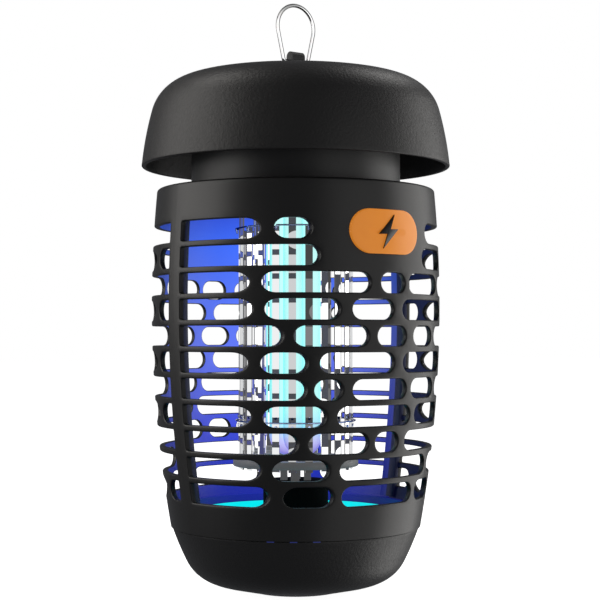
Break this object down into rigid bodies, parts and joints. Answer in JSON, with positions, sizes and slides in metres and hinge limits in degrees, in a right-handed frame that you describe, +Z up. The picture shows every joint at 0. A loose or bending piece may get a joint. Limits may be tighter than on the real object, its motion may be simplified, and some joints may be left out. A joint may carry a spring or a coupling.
{
  "type": "electric bug zapper",
  "caption": "Hanging electric insect killer with a black barrel cage round a lit lamp and a ring of metal strips, a wide hood with a wire bail, and a twist-off tray.",
  "frame": {"origin": "centre of the tray's flat base, on the surface the object stands on", "axes": "+Z up the barrel's axis, -Y towards the front with the badge, +X to the right as seen from the front"},
  "size_m": [0.165, 0.165, 0.3142],
  "materials": {
    "hood_black": "fine leather grain",
    "cage_black": "satin, smooth",
    "tray_black": "fine leather grain",
    "frame_black": "satin",
    "gland_black": "satin",
    "seal_rubber": "matt",
    "badge_orange": "satin, with a black bolt of lightning",
    "grey_plastic": "satin",
    "grid_steel": "polished",
    "link_wire": "bright drawn wire",
    "bail_steel": "bright nickel-plated wire",
    "screw_steel": "zinc plated",
    "white_ceramic": "satin",
    "white_plastic": "satin",
    "lamp_glass": "lit blue-white",
    "board_green": "solder mask",
    "core_iron": "varnished laminations",
    "coil_copper": "enamelled winding under tape",
    "capacitor_blue": "gloss",
    "resistor_beige": "satin",
    "epoxy_black": "potting compound",
    "fuse_glass": "clear",
    "lead_brown": "satin insulation",
    "lead_white": "satin insulation",
    "lead_red": "silicone insulation"
  },
  "bodies": {
    "housing": {"hood": "hood_black", "hood_seal": "seal_rubber", "hanger_lug": "cage_black", "lug_nut": "screw_steel", "cord_gland": "gland_black", "gland_nut": "gland_black", "neck_housing": "cage_black", "hood_screws": "screw_steel", "cage_front": "cage_black", "cage_rear": "cage_black", "cage_screws": "screw_steel", "front_badge": "badge_orange", "base_frame": "frame_black", "grid_spider": "grey_plastic", "live_strips": "grid_steel", "live_link": "link_wire", "earth_strips": "grid_steel", "earth_ring": "link_wire", "grid_insulator": "white_ceramic", "grid_spacers": "white_ceramic", "grid_bolts": "screw_steel", "lamp_socket": "white_plastic", "lamp_cap": "white_plastic", "uv_lamp": "lamp_glass", "circuit_board": "board_green", "board_screws": "screw_steel", "transformer_core": "core_iron", "transformer_coil": "coil_copper", "capacitors": "capacitor_blue", "resistors": "resistor_beige", "voltage_multiplier": "epoxy_black", "fuse": "fuse_glass", "mains_leads": "lead_brown", "lamp_leads": "lead_white", "grid_leads": "lead_red"},
    "tray": {"collection_tray": "tray_black"},
    "bail": {"hanging_bail": "bail_steel"}
  },
  "joints": [
    {"name": "tray_twist", "type": "hinge", "parent": "housing", "child": "tray", "pos_m": [0, 0, 0.0344], "axis": [0, 0, 1], "range_deg": [0, 24]},
    {"name": "bail_swing", "type": "hinge", "parent": "housing", "child": "bail", "pos_m": [0, 0, 0.2825], "axis": [1, 0, 0], "range_deg": [-95, 95]}
  ]
}
